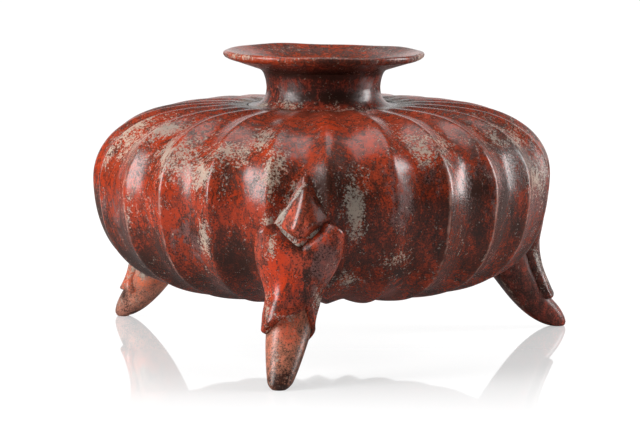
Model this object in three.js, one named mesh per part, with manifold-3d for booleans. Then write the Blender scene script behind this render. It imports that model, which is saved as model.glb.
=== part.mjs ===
import * as THREE from 'three';
import { ConvexGeometry } from 'three/addons/geometries/ConvexGeometry.js';
import { LoftGeometry } from 'three/addons/geometries/LoftGeometry.js';
import { mergeVertices } from 'three/addons/utils/BufferGeometryUtils.js';
import Module from 'manifold-3d';

const wasm = await Module();
wasm.setup();

// A ribbed squash-shaped clay vessel on three bird-shaped supports, hand-built from luted pieces.
// Millimetres, +Z up, the front support towards -Y. Heights are taken from the floor.

// Body
const bodyRadius = 170; // over the rib crests, at the widest line
const bowlClearance = 39.7; // floor to the lowest point of the bowl
const bowlDepth = 93.1; // lowest point of the bowl up to the widest line
const crownRise = 47.6; // widest line up to the flat of the shoulder
const bowlRadialPower = 3.88;
const bowlHeightPower = 2.83;
const crownRadialPower = 5.79;
const crownHeightPower = 1.39;
const wallThickness = 6.5; // at the bottom of a flute
const ribsPerSupport = 8;
const fluteDepth = 4.5; // crest to flute, square to the wall, at the widest line
const fluteFadePower = 0.75;
const bowlRibStart = 12; // radius where the ribs fade out under the bowl
const crownRibStart = 55; // radius where the ribs fade out on the shoulder

// Neck and rim
const throatRadius = 36.3;
const neckWaistRadius = 42.3; // outside of the neck where it is narrowest
const neckWaistRise = 10.6; // of the waist above the shoulder
const neckRootRadius = 53; // where the neck sweeps out into the shoulder
const neckOffset = 0.9; // the hand-set neck stands this far right of the body's middle
const neckTopRadius = 46;
const neckTopRise = 23.6;
const seatSlope = 0.9; // radius lost per millimetre of depth in the shoulder's conical seat
const seatDepth = 7.4;
const rimRadius = 74.5;
const rimRise = 38.1; // top of the rim above the shoulder
const rimThickness = 6;
const rimSlope = 0.32; // rise of the flare per millimetre outwards
const rimJointSlope = 0.55; // rise of the joint between neck and rim per millimetre inwards

// Supports: birds with the head up against the wall and the tail down as the foot. Each is set round the
// body by eye, so its bearing from the front, in degrees, and the ends of its wings are its own.
const frontLeftTip = 37; // height of the front bird's left wing tip
const frontRightTip = 31;
const rightLeftTip = 25;
const rightRightTip = 24;
const leftLeftTip = 24;
const leftRightTip = 22;
const supports = [
  { name: 'front', bearing: 0, leftTipHeight: frontLeftTip, rightTipHeight: frontRightTip },
  { name: 'right', bearing: 120, leftTipHeight: rightLeftTip, rightTipHeight: rightRightTip },
  { name: 'left', bearing: 241.6, leftTipHeight: leftLeftTip, rightTipHeight: leftRightTip },
];
const footReach = 26; // middle of the foot outside the widest line
const footFlat = 7.5; // width of the worn flat on the floor
const footLean = 11; // how far the foot leans to the bird's left
const noseReach = 6; // tip of the tail outside the middle of the foot
const noseHeight = 5; // height of the rounding at the tip of the tail
const footHalfWidth = 7.5;
const waistHalfWidth = 17.8;
const waistHeight = 55;
const tailWidthPower = 0.62; // below 1 the tail widens soonest just above the foot
const shoulderHalfWidth = 28.5;
const shoulderLean = 1; // how far the shoulders stand to the bird's right
const shoulderDrop = 24; // top of the wings below the widest line
const shoulderRounding = 15; // height over which the tops of the wings round off
const breastStand = 3.6; // front of the breast outside the widest line
const breastTopDrop = 31; // top of the breast below the widest line
const tailSweepHeight = 32; // height over which the tail sweeps out to the foot
const undercut = 52; // from the foot in to where the underside meets the bowl
const undercutPower = 0.61;
const supportPower = 2.3;
const wingThickness = 3.6;
const wingTipHeight = 20; // where the wings would thin out to nothing
const wingFullHeight = 40; // where they reach their thickness
const wingShoulderRise = 2.3; // extra thickness of the wings at the shoulders
const wingDepth = 14; // front to back, at the edge of a wing
const wingRootDepth = 32; // front to back, at the shoulders
const wingLip = 1.8; // overhang of a wing beside the breast
const wingTopFall = 0.5; // share of their stand that the wings lose as they round off at the top
const wingTopNarrowing = 0.25; // share of their half width that they lose there
const wingPower = 2.7;
const forkOffset = 3.5; // top of the fork between the wing tips, beside the support's middle
const forkRise = 16; // top of the fork above the left wing's tip
const tipReach = 0.95; // lower corner of a wing, as a share of the breast's half width there
const leftEdgeLift = 0.65; // middle of the left wing's lower edge, as a share of the way up to the fork
const rightEdgeLift = 0.4;
const headApexRise = 7; // tip of the head above the widest line
const headBaseDrop = 22; // widest part of the head below the widest line
const headChinDrop = 37;
const headHalfWidth = 15;
const headRidgeHalfWidth = 7.5;
const headStand = 12; // front of the head outside the widest line
const headOffset = 2;

// Joints and fineness
const clearance = 0.3; // left between luted pieces
const bodySeamSlope = 0.7; // rise of the bevelled seam per millimetre inwards
const stepsPerRib = 4;
const wallRings = 22;
const roundSteps = 40;
const supportSteps = 16;
const supportRings = 14;
const footCrowding = 1.7; // above 1 the rings stand closer together towards the foot
const edgeSteps = 6;
const curveSteps = 4;

const widestHeight = bowlClearance + bowlDepth;
const shoulderTop = widestHeight + crownRise;
const rimTop = shoulderTop + rimRise;
const footRadius = bodyRadius + footReach;
const wingTop = widestHeight - shoulderDrop;
const wingRounding = wingTop - shoulderRounding; // where the wings begin to round off
const ribCount = ribsPerSupport * supports.length;
const neckWall = neckWaistRadius - throatRadius;
const throatTopRadius = neckTopRadius - neckWall;

// The outline of the ribbed wall over the crests, from the bottom centre out and up to the top centre:
// one superellipse below the widest line and a flatter one above it
class WallOutline extends THREE.Curve {
  getPoint(share, target = new THREE.Vector2()) {
    const angle = (share - 0.5) * Math.PI;
    const across = Math.max(Math.cos(angle), 0);
    const along = Math.abs(Math.sin(angle));
    if (angle < 0) {
      const fall = bowlDepth * along ** (2 / bowlHeightPower);
      return target.set(bodyRadius * across ** (2 / bowlRadialPower), widestHeight - fall);
    }
    const rise = crownRise * along ** (2 / crownHeightPower);
    return target.set(bodyRadius * across ** (2 / crownRadialPower), widestHeight + rise);
  }
}

const wallOutline = new WallOutline();

// Where a place on the outline is, which way it faces and how deep the flutes are there
function wallPlace(share) {
  const point = wallOutline.getPointAt(share);
  const tangent = wallOutline.getTangentAt(share);
  const ribStart = point.y < widestHeight ? bowlRibStart : crownRibStart;
  const strength = Math.max(point.x - ribStart, 0) / (bodyRadius - ribStart);
  return {
    point,
    normal: new THREE.Vector2(tangent.y, -tangent.x),
    strength,
    depth: fluteDepth * strength ** fluteFadePower,
  };
}

// Depth of a flute across its width as a share: 0 on the crests, 1 in the middle. The crests are sharp
// where the ribs are strong and rounded where they fade.
function fluteShape(turn, strength) {
  const across = 2 * (turn - Math.round(turn));
  const scallop = 1 - across ** 2;
  const wave = (1 + Math.cos(Math.PI * across)) / 2;
  return THREE.MathUtils.lerp(wave, scallop, strength);
}

// One ring of the wall, starting on the middle of the flute over the front support
function wallRing(share, count, offsetAt) {
  const place = wallPlace(share);
  const ring = [];
  for (let i = 0; i < count; i += 1) {
    const angle = (i / count) * 2 * Math.PI - Math.PI / 2;
    const offset = offsetAt(place, (i / count) * ribCount);
    const radius = place.point.x + place.normal.x * offset;
    const height = place.point.y + place.normal.y * offset;
    ring.push(new THREE.Vector3(radius * Math.cos(angle), radius * Math.sin(angle), height));
  }
  return ring;
}

function wallLoft(count, offsetAt) {
  const rings = [];
  for (let i = 1; i < wallRings; i += 1) {
    rings.push(wallRing(i / wallRings, count, offsetAt));
  }
  return new LoftGeometry(rings, { capStart: true, capEnd: true });
}

// The full outer form of the body, grown by a distance
function bodyForm(grow) {
  const offsetAt = (place, turn) => grow - place.depth * fluteShape(turn, place.strength);
  return wallLoft(ribCount * stepsPerRib, offsetAt);
}

// The smooth hollow inside the body
function bodyHollow() {
  return wallLoft(roundSteps, (place) => -place.depth - wallThickness);
}

// A closed geometry as a solid that can be joined and cut
function solid(geometry) {
  const bare = new THREE.BufferGeometry();
  bare.setAttribute('position', geometry.attributes.position);
  bare.setIndex(geometry.index);
  const merged = mergeVertices(bare);
  const corners = merged.index.array;
  const kept = [];
  for (let i = 0; i < corners.length; i += 3) {
    const [a, b, c] = corners.slice(i, i + 3);
    if (a !== b && b !== c && c !== a) {
      kept.push(a, b, c);
    }
  }
  return new wasm.Manifold(new wasm.Mesh({
    numProp: 3,
    vertProperties: new Float32Array(merged.attributes.position.array),
    triVerts: new Uint32Array(kept),
  }));
}

function geometryOf(shape) {
  const mesh = shape.getMesh();
  const geometry = new THREE.BufferGeometry();
  geometry.setAttribute('position', new THREE.BufferAttribute(mesh.vertProperties, 3));
  geometry.setIndex(new THREE.BufferAttribute(mesh.triVerts, 1));
  geometry.computeVertexNormals();
  return geometry;
}

// A profile of radius and height turned about the vessel's axis
function turned(points) {
  const geometry = new THREE.LatheGeometry(points, roundSteps);
  geometry.rotateX(Math.PI / 2);
  return geometry;
}

// Everything below the body's bevelled seam, which rises inwards through the wall
function belowSeam(height) {
  const low = height - 2 * bodyRadius;
  const bevel = 2 * (wallThickness + fluteDepth);
  return solid(turned([
    new THREE.Vector2(0, low),
    new THREE.Vector2(bodyRadius + bevel, low),
    new THREE.Vector2(bodyRadius + bevel, height - bevel * bodySeamSlope),
    new THREE.Vector2(bodyRadius - bevel, height + bevel * bodySeamSlope),
    new THREE.Vector2(0, height + bevel * bodySeamSlope),
  ]));
}

// Vertical distance between two cones of one slope that leaves the clearance square to them
function coneGap(slope) {
  return clearance * Math.hypot(1, slope);
}

// The opening in the shoulder narrows downwards, so that the neck seats in it like a plug
function shoulderOpening() {
  const cone = turned([
    new THREE.Vector2(0, shoulderTop - neckRootRadius),
    new THREE.Vector2(neckRootRadius * (1 - seatSlope), shoulderTop - neckRootRadius),
    new THREE.Vector2(neckRootRadius * (1 + seatSlope), shoulderTop + neckRootRadius),
    new THREE.Vector2(0, shoulderTop + neckRootRadius),
  ]);
  cone.translate(neckOffset, 0, 0);
  return solid(cone);
}

function bodyPieces() {
  const shell = solid(bodyForm(0)).subtract(solid(bodyHollow()));
  const raised = belowSeam(widestHeight + coneGap(bodySeamSlope));
  return {
    bowl: shell.intersect(belowSeam(widestHeight)),
    shoulder: shell.subtract(raised).subtract(shoulderOpening()),
  };
}

function neckGeometry() {
  const seatTop = neckRootRadius - coneGap(seatSlope);
  const narrowest = shoulderTop + neckWaistRise;
  const topHeight = shoulderTop + neckTopRise;
  const profile = new THREE.Path();
  profile.moveTo(throatRadius, shoulderTop - seatDepth);
  profile.lineTo(seatTop - seatDepth * seatSlope, shoulderTop - seatDepth);
  profile.lineTo(seatTop, shoulderTop);
  profile.quadraticCurveTo(neckWaistRadius, shoulderTop, neckWaistRadius, narrowest);
  profile.quadraticCurveTo(neckWaistRadius, topHeight - neckWall, neckTopRadius, topHeight);
  profile.lineTo(throatTopRadius, topHeight + neckWall * rimJointSlope);
  profile.quadraticCurveTo(throatRadius, narrowest + neckWall, throatRadius, narrowest);
  profile.lineTo(throatRadius, shoulderTop - seatDepth);
  return turned(profile.getPoints(curveSteps));
}

function rimGeometry() {
  const lip = rimThickness / 2;
  const lipRadius = rimRadius - lip;
  const lipHeight = rimTop - lip;
  const tilt = Math.atan(rimSlope);
  const flareRadius = neckTopRadius + neckWall;
  const under = lipHeight - lip / Math.cos(tilt) - (lipRadius - flareRadius) * rimSlope;
  const over = under + rimThickness / Math.cos(tilt);
  const jointOuter = shoulderTop + neckTopRise + coneGap(rimJointSlope);
  const jointInner = jointOuter + neckWall * rimJointSlope;
  const bendRadius = (neckTopRadius + flareRadius) / 2;
  const bend = under - (flareRadius - bendRadius) * rimSlope;
  const profile = new THREE.Path();
  profile.moveTo(throatTopRadius, jointInner);
  profile.lineTo(neckTopRadius, jointOuter);
  profile.quadraticCurveTo(bendRadius, bend, flareRadius, under);
  profile.absarc(lipRadius, lipHeight, lip, tilt - Math.PI / 2, tilt + Math.PI / 2);
  profile.lineTo(flareRadius, over);
  profile.quadraticCurveTo(throatTopRadius, over - neckWall * rimSlope, throatTopRadius, jointInner);
  return turned(profile.getPoints(curveSteps));
}

// Supports are built under the front of the body: x runs to the viewer's right and -y is outwards
function leanAt(height) {
  return THREE.MathUtils.lerp(-footLean, shoulderLean, height / wingTop);
}

function breastHalfWidth(height) {
  const low = Math.min(height / waistHeight, 1) ** tailWidthPower;
  const high = THREE.MathUtils.smoothstep(height, waistHeight, wingRounding);
  const tail = THREE.MathUtils.lerp(footHalfWidth, waistHalfWidth, low);
  return tail + (shoulderHalfWidth - waistHalfWidth) * high;
}

function breastOuter(height) {
  const sweep = footReach + noseReach - breastStand;
  return bodyRadius + breastStand + sweep * Math.exp(-((height / tailSweepHeight) ** 2));
}

function breastInner(height) {
  return footRadius - undercut * (height / bowlClearance) ** undercutPower;
}

// A level, oval section between an outer and an inner reach from the vessel's axis
function ovalSection(height, outer, inner, halfWidth, power) {
  const middle = (outer + inner) / 2;
  const halfDepth = (outer - inner) / 2;
  const section = [];
  for (let i = 0; i < supportSteps; i += 1) {
    const angle = (i / supportSteps) * 2 * Math.PI;
    const across = Math.sign(Math.cos(angle)) * Math.abs(Math.cos(angle)) ** (2 / power);
    const along = Math.sign(Math.sin(angle)) * Math.abs(Math.sin(angle)) ** (2 / power);
    section.push(new THREE.Vector3(leanAt(height) + across * halfWidth, along * halfDepth - middle, height));
  }
  return section;
}

// Breast and tail, grown by a distance, with a worn flat under the tip
function breastForm(grow) {
  const top = widestHeight - breastTopDrop + grow;
  const sections = [];
  for (let i = 0; i <= supportRings; i += 1) {
    const height = top * (i / supportRings) ** footCrowding;
    const rounding = Math.sqrt(1 - Math.max(1 - height / noseHeight, 0) ** 2);
    const outerReach = THREE.MathUtils.lerp(footFlat / 2, breastOuter(height) - footRadius, rounding);
    const innerReach = Math.max(footRadius - breastInner(height), footFlat / 2);
    const halfWidth = THREE.MathUtils.lerp(footFlat / 2, breastHalfWidth(height), rounding);
    sections.push(ovalSection(
      height,
      footRadius + outerReach + grow,
      footRadius - innerReach - grow,
      halfWidth + grow,
      supportPower,
    ));
  }
  return new LoftGeometry(sections, { capStart: true, capEnd: true });
}

// Both wings as one mantle over the back of the bird
function mantleForm(lowest) {
  const low = lowest - wingThickness;
  const sections = [];
  for (let i = 0; i <= supportRings; i += 1) {
    const height = low + (wingTop - low) * Math.sin((i / supportRings) * (Math.PI / 2));
    const closing = Math.max(height - wingRounding, 0) / shoulderRounding;
    const rise = THREE.MathUtils.smoothstep(height, waistHeight, wingRounding);
    const rootEnd = wingRounding + shoulderRounding / 2;
    const root = THREE.MathUtils.smoothstep(height, wingRounding - shoulderRounding, rootEnd);
    const plate = wingThickness * THREE.MathUtils.smoothstep(height, wingTipHeight, wingFullHeight);
    const stand = breastOuter(height) - bodyRadius + plate + wingShoulderRise * rise;
    const outer = bodyRadius + stand * (1 - wingTopFall * closing ** 2);
    const depth = THREE.MathUtils.lerp(wingDepth, wingRootDepth, root);
    const halfWidth = (breastHalfWidth(height) + wingLip) * (1 - wingTopNarrowing * closing ** 4);
    sections.push(ovalSection(height, outer, outer - depth, halfWidth, wingPower));
  }
  return new LoftGeometry(sections, { capStart: true, capEnd: true });
}

// A flat outline of sideways places and heights, run through the support from front to back
function throughSupport(shape) {
  const run = { depth: 2 * bodyRadius, bevelEnabled: false, curveSegments: edgeSteps };
  const geometry = new THREE.ExtrudeGeometry(shape, run);
  geometry.rotateX(Math.PI / 2);
  return solid(geometry);
}

// The head seen from the front, grown about its middle: tip, left corner, chin and right corner
function headOutline(grow) {
  const base = widestHeight - headBaseDrop;
  const scale = 1 + grow / (headHalfWidth / 2);
  const place = (across, rise) => new THREE.Vector2(headOffset + across * scale, base + rise * scale);
  return [
    place(0, headApexRise + headBaseDrop),
    place(-headHalfWidth, 0),
    place(0, headBaseDrop - headChinDrop),
    place(headHalfWidth, 0),
  ];
}

// The wings lie on either side of a seam that runs down from the chin to the fork between their tips
function wingRegion(side, tipHeight, forkHeight) {
  const chin = new THREE.Vector2(headOffset, widestHeight - headChinDrop);
  const far = 2 * shoulderHalfWidth;
  const seam = (side * clearance) / 2;
  const tip = leanAt(tipHeight) + side * breastHalfWidth(tipHeight) * tipReach;
  const shape = new THREE.Shape();
  shape.moveTo(chin.x + seam, wingTop + far);
  shape.lineTo(chin.x + seam, chin.y);
  shape.lineTo(forkOffset + seam, forkHeight);
  shape.quadraticCurveTo(
    (forkOffset + tip) / 2,
    THREE.MathUtils.lerp(tipHeight, forkHeight, side < 0 ? leftEdgeLift : rightEdgeLift),
    tip,
    tipHeight,
  );
  shape.lineTo(side * far, tipHeight - far / 2);
  shape.lineTo(side * far, wingTop + far);
  return throughSupport(shape);
}

function headGeometry() {
  const [apex, left, chin, right] = headOutline(0);
  const back = bodyRadius - 2 * wingThickness - 2 * fluteDepth;
  const front = bodyRadius + headStand;
  const cheek = bodyRadius + breastStand;
  const at = (place, reach) => new THREE.Vector3(place.x, -reach, place.y);
  const brow = left.y - wingThickness / 2;
  const ridge = (side) => new THREE.Vector3(headOffset + side * headRidgeHalfWidth, -front, brow);
  return new ConvexGeometry([
    at(apex, bodyRadius - fluteDepth / 2),
    ridge(-1),
    ridge(1),
    at(left, cheek),
    at(right, cheek),
    at(chin, front - wingThickness),
    at(apex, back),
    at(left, back),
    at(right, back),
    at(chin, back),
  ]);
}

function supportPieces({ bearing, leftTipHeight, rightTipHeight }) {
  const wallAround = bodyForm(clearance);
  wallAround.rotateZ(-THREE.MathUtils.degToRad(bearing));
  const wall = solid(wallAround);
  const breast = solid(breastForm(0)).subtract(wall);
  const breastRoom = solid(breastForm(clearance));
  const mantle = solid(mantleForm(Math.min(leftTipHeight, rightTipHeight)));
  const headRoom = throughSupport(new THREE.Shape(headOutline(clearance)));
  const wings = mantle.subtract(wall).subtract(breastRoom).subtract(headRoom);
  const forkHeight = leftTipHeight + forkRise;
  return {
    leg: breast,
    head: solid(headGeometry()).subtract(wall).subtract(breastRoom),
    left_wing: wings.intersect(wingRegion(-1, leftTipHeight, forkHeight)),
    right_wing: wings.intersect(wingRegion(1, rightTipHeight, forkHeight)),
  };
}

const slip = {
  bowl: new THREE.MeshStandardMaterial({ color: 0x5e2a22, roughness: 0.38, metalness: 0 }),
  shoulder: new THREE.MeshStandardMaterial({ color: 0x8a3527, roughness: 0.34, metalness: 0 }),
  neck: new THREE.MeshStandardMaterial({ color: 0x4d2520, roughness: 0.36, metalness: 0 }),
  rim: new THREE.MeshStandardMaterial({ color: 0x86301f, roughness: 0.32, metalness: 0 }),
  leg: new THREE.MeshStandardMaterial({ color: 0xa4452f, roughness: 0.45, metalness: 0 }),
  head: new THREE.MeshStandardMaterial({ color: 0x9a2f1d, roughness: 0.32, metalness: 0 }),
  left_wing: new THREE.MeshStandardMaterial({ color: 0xa63a26, roughness: 0.35, metalness: 0 }),
  right_wing: new THREE.MeshStandardMaterial({ color: 0x7c3a37, roughness: 0.35, metalness: 0 }),
};

function piece(name, geometry, material) {
  const mesh = new THREE.Mesh(geometry, material);
  mesh.name = name;
  return mesh;
}

const vessel = new THREE.Group();
const { bowl, shoulder } = bodyPieces();
vessel.add(piece('lower_bowl', geometryOf(bowl), slip.bowl));
vessel.add(piece('upper_body', geometryOf(shoulder), slip.shoulder));

const neck = new THREE.Group();
neck.position.x = neckOffset;
neck.add(piece('neck_collar', neckGeometry(), slip.neck));
neck.add(piece('rim_lip', rimGeometry(), slip.rim));
vessel.add(neck);

for (const support of supports) {
  const group = new THREE.Group();
  group.rotation.z = THREE.MathUtils.degToRad(support.bearing);
  for (const [part, shape] of Object.entries(supportPieces(support))) {
    group.add(piece(`${support.name}_${part}`, geometryOf(shape), slip[part]));
  }
  vessel.add(group);
}

// The origin is on the floor, under the middle of the whole vessel's box
const extent = new THREE.Box3().setFromObject(vessel, true);
const extentMiddle = extent.getCenter(new THREE.Vector3());
vessel.position.set(-extentMiddle.x, -extentMiddle.y, -extent.min.z);

export default vessel;
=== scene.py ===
import math

import bmesh
import bpy
import numpy as np
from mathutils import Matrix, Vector, noise


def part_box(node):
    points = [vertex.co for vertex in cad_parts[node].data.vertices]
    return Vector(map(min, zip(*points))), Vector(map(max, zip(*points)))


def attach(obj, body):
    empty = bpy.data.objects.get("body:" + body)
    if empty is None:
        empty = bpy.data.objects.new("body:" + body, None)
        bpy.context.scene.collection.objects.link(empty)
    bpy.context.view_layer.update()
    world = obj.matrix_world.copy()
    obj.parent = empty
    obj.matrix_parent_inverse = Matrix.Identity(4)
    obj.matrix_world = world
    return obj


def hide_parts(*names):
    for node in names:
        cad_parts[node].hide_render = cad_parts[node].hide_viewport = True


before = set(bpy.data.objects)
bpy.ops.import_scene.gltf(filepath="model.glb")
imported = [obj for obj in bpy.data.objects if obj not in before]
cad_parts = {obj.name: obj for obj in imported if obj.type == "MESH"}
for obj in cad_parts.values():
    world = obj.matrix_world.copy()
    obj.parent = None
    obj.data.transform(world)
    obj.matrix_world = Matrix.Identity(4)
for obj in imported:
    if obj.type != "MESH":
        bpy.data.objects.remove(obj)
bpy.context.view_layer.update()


# Camera
# A long lens over two metres off, a little to the right of the front bird and a little above the rim,
# so the near and far ribs are drawn at almost one scale.
bowl_low, bowl_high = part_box("lower_bowl")
body_axis = Vector(((bowl_low.x + bowl_high.x) / 2, (bowl_low.y + bowl_high.y) / 2, 0))
camera_bearing = math.radians(5.2)
camera_distance = 2.1355
camera_offset = 0.00155
camera_height = 0.3708
camera_pitch = math.radians(7.317)
focal_length_in_pixels = 2884.8
image_width = 640
sensor_width = 36

camera_data = bpy.data.cameras.new("camera")
camera_data.sensor_width = sensor_width
camera_data.lens = focal_length_in_pixels * sensor_width / image_width
camera_data.clip_end = 50
camera = bpy.data.objects.new("camera", camera_data)
camera.location = (
    body_axis.x + camera_distance * math.sin(camera_bearing) - camera_offset * math.cos(camera_bearing),
    body_axis.y - camera_distance * math.cos(camera_bearing) - camera_offset * math.sin(camera_bearing),
    camera_height,
)
camera.rotation_euler = (math.pi / 2 - camera_pitch, 0, camera_bearing)
bpy.context.scene.collection.objects.link(camera)
bpy.context.scene.camera = camera
bpy.context.scene.view_settings.view_transform = "Standard"


# Lower bowl
# The ribbed half below the widest line, built up from coils of red-firing clay. The flutes between the
# ribs are pressed in with the hand, slipped and burnished, so they are smooth but never quite even.
wall_radius = 0.170
bowl_depth = 0.0931
wall_thickness = 0.0065
crown_rise = 0.0476
bowl_powers = (3.88, 2.83)  # how square the outline is, outwards and downwards
crown_powers = (5.79, 1.39)
outline_softening = 0.036
outline_samples = 20001
outline_spacing = 0.0004
bowl_rib_start = 0.012
flute_depth = 0.0058
flute_fade_power = 0.75
crest_rounding = 0.10  # as a share of half a flute's width
bowl_bottom = bowl_low.z
widest_height = bowl_bottom + bowl_depth
rib_count = 24
steps_per_rib = 20
outer_rings = 96
inner_rings = 26
crest_crowding = 0.45  # how far the steps round the body draw together at the crests
crest_wear_and_highlight_width = 0.045  # as a share of a rib's width
seam_clearance = 0.0001
weld_distance = 1e-6
even_middle_radius = 0.020  # within it the clay's unevenness dies away
broad_dent_size = 0.055
broad_dent_depth = 0.0007
close_dent_size = 0.017
close_dent_depth = 0.00018
close_dent_shift = Vector((7, 3, 1))  # keeps the close dents apart from the broad ones

# Where the wall was built out further by hand: bearing, height, their half sizes, and how far
wall_bulges = [(85, 0.146, 35, 0.028, 0.0014), (275, 0.162, 35, 0.014, 0.0008)]

# Crests from the front round to the right, in degrees. Each is set a little off its even place.
rib_spacing = 360 / rib_count
crest_drift = [
    0.0, -0.6, 0.3, -0.6, -0.9, -1.2, -0.8, 0.4, 0.9, -0.3, -0.8, 0.2,
    0.7, -0.5, 0.6, 0.1, -0.7, 0.5, 1.2, 1.4, 0.3, 1.6, 0.3, -0.2,
]
crest_bearings = [(rib - 0.5) * rib_spacing + crest_drift[rib % rib_count] for rib in range(rib_count + 2)]
crest_bearings[0] = crest_bearings[rib_count] - 360
crest_bearings[rib_count + 1] = crest_bearings[1] + 360


def bearing_of(point):
    """Bearing of a point round the body, in degrees from the front towards the viewer's right."""
    return math.degrees(math.atan2(point.x - body_axis.x, body_axis.y - point.y)) % 360


def radius_of(point):
    """How far out from the body's axis a point is."""
    return math.hypot(point.x - body_axis.x, point.y - body_axis.y)


def smooth_step(value, start, end):
    """0 below the start, 1 above the end and smooth between."""
    share = np.clip((value - start) / (end - start), 0, 1)
    return share * share * (3 - 2 * share)


def bell(value, middle, half_width):
    """1 in the middle, fading softly to both sides."""
    return np.exp(-(((value - middle) / half_width) ** 2))


def run_along(line):
    """How far along a line each of its points is."""
    return np.concatenate(([0], np.cumsum(np.hypot(*np.diff(line, axis=0).T))))


def evenly_spaced(line, count):
    """Points along a line, at equal distances from its first to its last."""
    run = run_along(line)
    places = np.linspace(0, run[-1], count)
    return np.column_stack([np.interp(places, run, line[:, side]) for side in (0, 1)])


def averaged(values, reach):
    """The average over this many values either side of each, for all but those at the ends."""
    window = np.hanning(2 * reach + 1)
    return np.convolve(values, window / window.sum(), "valid")


def softened(line, reach):
    """A line from axis to axis, averaged over this many points either side of each."""
    start = [-1, 1] * line[1:reach + 1][::-1]
    end = [-1, 1] * line[-reach - 1:-1][::-1]
    padded = np.vstack((start, line, end))
    return np.column_stack([averaged(padded[:, side], reach) for side in (0, 1)])


def wall_line(spacing):
    """Radius and height over the crests, from the bottom middle to the top middle."""
    angles = np.linspace(-math.pi / 2, math.pi / 2, outline_samples)
    low, high = angles < 0, angles > 0
    line = np.column_stack((np.full(len(angles), wall_radius), np.full(len(angles), widest_height)))
    line[low, 0] *= np.cos(angles[low]) ** (2 / bowl_powers[0])
    line[low, 1] -= bowl_depth * np.sin(-angles[low]) ** (2 / bowl_powers[1])
    line[high, 0] *= np.cos(angles[high]) ** (2 / crown_powers[0])
    line[high, 1] += crown_rise * np.sin(angles[high]) ** (2 / crown_powers[1])
    line = evenly_spaced(line, round(run_along(line)[-1] / spacing))
    reach = round(outline_softening / spacing)
    soft = softened(line, reach)
    soft += softened(line - soft, reach)
    soft[:, 0] *= wall_radius / soft[:, 0].max()
    return soft


def facing(line):
    """Which way each point of an outline faces, with the outside on its right."""
    along = np.gradient(line, axis=0)
    along /= np.hypot(*along.T)[:, None]
    return np.column_stack((along[:, 1], -along[:, 0]))


def flute_share(bearing, strength):
    """Depth of the flutes at a bearing: 0 on a crest and 1 in the middle of a flute."""
    turn = np.interp(bearing, crest_bearings, range(rib_count + 2))
    across = 2 * (turn - math.floor(turn)) - 1
    from_crest = math.hypot(1 - abs(across), crest_rounding) - crest_rounding
    scallop = 1 - (1 - from_crest) ** 2
    wave = (1 + math.cos(math.pi * across)) / 2
    return strength * scallop + (1 - strength) * wave


def hand_unevenness(point):
    """How far a hand-shaped surface stands out from the true form."""
    broad = noise.noise(point / broad_dent_size) * broad_dent_depth
    close = noise.noise(point / close_dent_size + close_dent_shift) * close_dent_depth
    return broad + close


def side_bulge(bearing, height):
    """How far the wall stands out at its two bulges."""
    return sum(
        rise * bell(bearing, middle, half_angle) * bell(height, level, half_height)
        for middle, level, half_angle, half_height, rise in wall_bulges
    )


def rib_strength(radius, rib_start):
    """How full the ribs are at a radius: 0 where they start and 1 at their widest."""
    return np.maximum(radius - rib_start, 0) / (wall_radius - rib_start)


def inside_of(outer_line, rib_start):
    """The smooth inside of a wall, from the end of its outer line back to the start."""
    depths = wall_thickness + flute_depth * rib_strength(outer_line[:, 0], rib_start) ** flute_fade_power
    return evenly_spaced((outer_line - facing(outer_line) * depths[:, None])[::-1], inner_rings)


def thrown_wall(outer_line, inner_line, rib_start):
    """A fluted wall: one rib's width spun about the axis, copied round, and its outside pressed in."""
    wall = bmesh.new()
    depth = wall.verts.layers.float.new("depth")
    out = wall.verts.layers.float.new("out")
    up = wall.verts.layers.float.new("up")
    strength = wall.verts.layers.float.new("strength")
    line = []
    for (radius, height), (face_out, face_up) in zip(outer_line, facing(outer_line)):
        vert = wall.verts.new((body_axis.x, body_axis.y - radius, height))
        vert[strength] = rib_strength(radius, rib_start)
        vert[depth] = flute_depth * vert[strength] ** flute_fade_power
        vert[out], vert[up] = face_out, face_up
        line.append(vert)
    for radius, height in inner_line:
        line.append(wall.verts.new((body_axis.x, body_axis.y - radius, height)))
    edges = [wall.edges.new(pair) for pair in zip(line, line[1:])]
    if inner_line[-1][0] > 0:
        edges.append(wall.edges.new((line[-1], line[0])))
    one_rib = math.radians(rib_spacing)
    bmesh.ops.spin(
        wall, geom=line + edges, cent=body_axis, axis=(0, 0, 1), angle=one_rib, steps=steps_per_rib,
    )
    rib = wall.verts[:] + wall.edges[:] + wall.faces[:]
    bmesh.ops.spin(
        wall, geom=rib, cent=body_axis, axis=(0, 0, 1), angle=one_rib * (rib_count - 1),
        steps=rib_count - 1, use_duplicate=True,
    )
    bmesh.ops.remove_doubles(wall, verts=wall.verts, dist=weld_distance)
    for vert in wall.verts:
        if vert[out] == 0 and vert[up] == 0:
            continue
        bearing = bearing_of(vert.co)
        phase = 2 * math.pi * bearing / rib_spacing
        crowded = bearing + crest_crowding * rib_spacing / (2 * math.pi) * math.sin(phase)
        angle = math.radians(crowded)
        around = Vector((math.sin(angle), -math.cos(angle), 0))
        radius = radius_of(vert.co)
        place = body_axis + around * radius + Vector((0, 0, vert.co.z))
        press = vert[depth] * flute_share(crowded % 360, vert[strength])
        outward = around * vert[out] + Vector((0, 0, vert[up]))
        uneven = hand_unevenness(place) * min(radius / even_middle_radius, 1)
        uneven += side_bulge(crowded % 360, vert.co.z)
        vert.co = place + outward * (uneven - press)
    for layer in (depth, out, up, strength):
        wall.verts.layers.float.remove(layer)
    bmesh.ops.recalc_face_normals(wall, faces=wall.faces)
    return wall


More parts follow.
